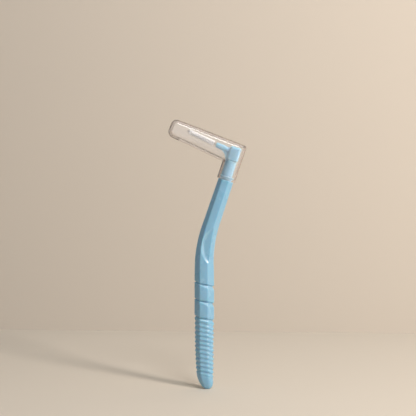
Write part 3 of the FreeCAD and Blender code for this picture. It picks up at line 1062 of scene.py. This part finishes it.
def dressCap():
    s = clearPlastic
    mat, tree, shader = newMaterial("clearPlastic")
    link = tree.links.new
    shader.inputs["Transmission Weight"].default_value = s["clear"]
    shader.inputs["IOR"].default_value = s["ior"]
    # brown towards grazing angles and on the marked rims: partly the plastic's tint along a longer path through
    # the wall, partly painted shade along the edges
    slant = addNode(tree, "ShaderNodeLayerWeight")
    steep = addRange(tree, *s["slant"])
    rims = addNode(tree, "ShaderNodeAttribute", attribute_name="rimTintAndShade")
    tintAndShade = addNode(tree, "ShaderNodeMath", operation="MAXIMUM")
    depth = addNode(tree, "ShaderNodeMix", data_type="RGBA")
    depth.inputs[mixFirst].default_value = rgba(s["face"])
    depth.inputs[mixSecond].default_value = rgba(s["edge"])
    link(slant.outputs["Facing"], steep.inputs["Value"])
    link(steep.outputs["Result"], tintAndShade.inputs[0])
    link(rims.outputs["Fac"], tintAndShade.inputs[1])
    link(tintAndShade.outputs["Value"], depth.inputs[mixFactor])
    link(depth.outputs[mixResult], shader.inputs["Base Color"])
    marks = useGroup(tree, handlingMarks, Size=s["marks"], Amount=1.0)
    rough = addNode(tree, "ShaderNodeMapRange")
    rough.inputs["To Min"].default_value, rough.inputs["To Max"].default_value = s["scuffed"]
    link(marks.outputs["Mask"], rough.inputs["Value"])
    link(rough.outputs["Result"], shader.inputs["Roughness"])
    letLampsThrough(tree, shader, s["letThrough"])  # on to the head inside
    cap.data.materials.clear()
    cap.data.materials.append(mat)


dressCap()

# brush, in mm along the wire from the post
brushForm = {
    "wireRadius": 0.14,
    "wireSides": 12,
    "wireSteps": 330,
    "foldSteps": 14,
    "twistRadius": 0.205,
    "pitch": 2.0,
    "wireStart": 6.0,
    "twistEnd": 19.955,
    "bristleStart": 9.0,
    "bristleLength": 10.4,
    "rootRadius": 1.05,
    "tipRadius": 0.95,
    "filamentRadius": 0.045,
    "filamentSides": 6,
    "filamentStations": (-1, -0.75, -0.4, 0, 0.4, 0.75, 1),
    "fans": 5,
    "perFan": 360,
    "spacing": (0.1, 0.9),  # each filament's place in its own share of the length
    "trim": (0.96, 1.0),
    "scatter": 0.8,
    "tilt": 0.05,
    "bow": 0.09,
    "offLine": 0.03,
    "seed": 7,
}
brushPlace = Matrix.Translation(brushStart * milli) @ Matrix.Rotation(brushTurn - math.pi / 2, 4, "Y")
brushFrame = shoulderFrame @ brushPlace
twistRate = 2 * math.pi / brushForm["pitch"]
alongWire = Vector((0, 0, 1))


def legPoint(height, side):
    reach = brushForm["twistRadius"] * side
    return Vector((reach * math.cos(twistRate * height), reach * math.sin(twistRate * height), height))


def wirePath():
    # out along one leg, round the fold at the tip and back along the other
    f = brushForm
    count = f["wireSteps"]
    heights = [mix(f["wireStart"], f["twistEnd"], n / count) for n in range(count + 1)]
    out = [legPoint(h, 1) for h in heights]
    back = [legPoint(h, -1) for h in reversed(heights)]
    middle = (out[-1] + back[0]) / 2
    run, lift = out[-1] - middle, Vector((0, 0, f["twistRadius"]))
    turns = [math.pi * k / f["foldSteps"] for k in range(1, f["foldSteps"])]
    return out + [middle + run * math.cos(a) + lift * math.sin(a) for a in turns] + back


def tubeAlong(path, radius, sides):
    points, faces = [], []
    up = Vector((1, 0, 0))
    for n, p in enumerate(path):
        run = (path[min(n + 1, len(path) - 1)] - path[max(n - 1, 0)]).normalized()
        up = (up - run * up.dot(run)).normalized()
        aside = run.cross(up)
        for k in range(sides):
            a = 2 * math.pi * k / sides
            points.append(p + (up * math.cos(a) + aside * math.sin(a)) * radius)
        if n:
            low, high = (n - 1) * sides, n * sides
            for k in range(sides):
                m = (k + 1) % sides
                faces.append((low + k, low + m, high + m, high + k))
    faces.append(tuple(range(sides - 1, -1, -1)))
    faces.append(tuple(range(len(points) - sides, len(points))))
    return points, faces


def makeWire():
    f = brushForm
    wire = meshObject("twisted_wire_legs", *tubeAlong(wirePath(), f["wireRadius"], f["wireSides"]))
    wire.data.transform(brushFrame)
    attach(wire, "brush")
    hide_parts("twisted_wire")
    return wire


def makeFan(index, dice):
    # filaments pinched between the legs, each a little bowed and never quite in line
    f = brushForm
    points, faces = [], []
    length = f["bristleLength"] / f["fans"]
    for n in range(f["perFan"]):
        along = (index + (n + dice.uniform(*f["spacing"])) / f["perFan"]) * length
        height = f["bristleStart"] + along
        radius = mix(f["rootRadius"], f["tipRadius"], along / f["bristleLength"])
        half = radius * dice.uniform(*f["trim"])
        angle = twistRate * height + math.pi / 2 + dice.gauss(0, f["scatter"])
        run = Vector((math.cos(angle), math.sin(angle), dice.gauss(0, f["tilt"]))).normalized()
        bow = alongWire * dice.gauss(0, f["bow"])
        offLine = run.cross(alongWire) * dice.uniform(-f["offLine"], f["offLine"])
        middle = Vector((0, 0, height)) + offLine
        path = [middle + run * (half * t) + bow * (t * t) for t in f["filamentStations"]]
        more, skin = tubeAlong(path, f["filamentRadius"], f["filamentSides"])
        faces += [tuple(k + len(points) for k in face) for face in skin]
        points += more
    name = "filament_fan_" + str(index + 1).zfill(2)
    fan = meshObject("filaments_" + str(index + 1).zfill(2), points, faces)
    fan.data.transform(brushFrame)
    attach(fan, "brush")
    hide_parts(name)
    return fan


wire = makeWire()
dice = random.Random(brushForm["seed"])
fans = [makeFan(n, dice) for n in range(brushForm["fans"])]
print("brush: wire and", len(fans), "fans of filaments")

steelWire = {
    "tone": (0.27, 0.262, 0.258),
    "other": (0.36, 0.352, 0.348),
    "clouds": 900.0,
    "pebble": 9000.0,
    "drift": 2500.0,
    "polish": (0.24, 0.4),
    "grainBump": 0.08,
    "grainDepth": 0.00001,
}
whiteNylon = {
    "tone": (0.93, 0.935, 0.94),
    "other": (0.97, 0.97, 0.965),
    "clouds": 2600.0,
    "pebble": 9000.0,
    "drift": 1500.0,
    "polish": (0.32, 0.5),
    "letThrough": 0.85,
}


def dressBrush():
    mat, tree, shader, grain = grainedMaterial("steelWire", steelWire)
    raiseGrain(tree, shader, grain, steelWire)
    shader.inputs["Metallic"].default_value = 1.0
    wire.data.materials.append(mat)
    mat, tree, shader, grain = grainedMaterial("whiteNylon", whiteNylon)
    letLampsThrough(tree, shader, whiteNylon["letThrough"])  # on to the filaments behind
    for fan in fans:
        fan.data.materials.append(mat)


dressBrush()
print("materials on")
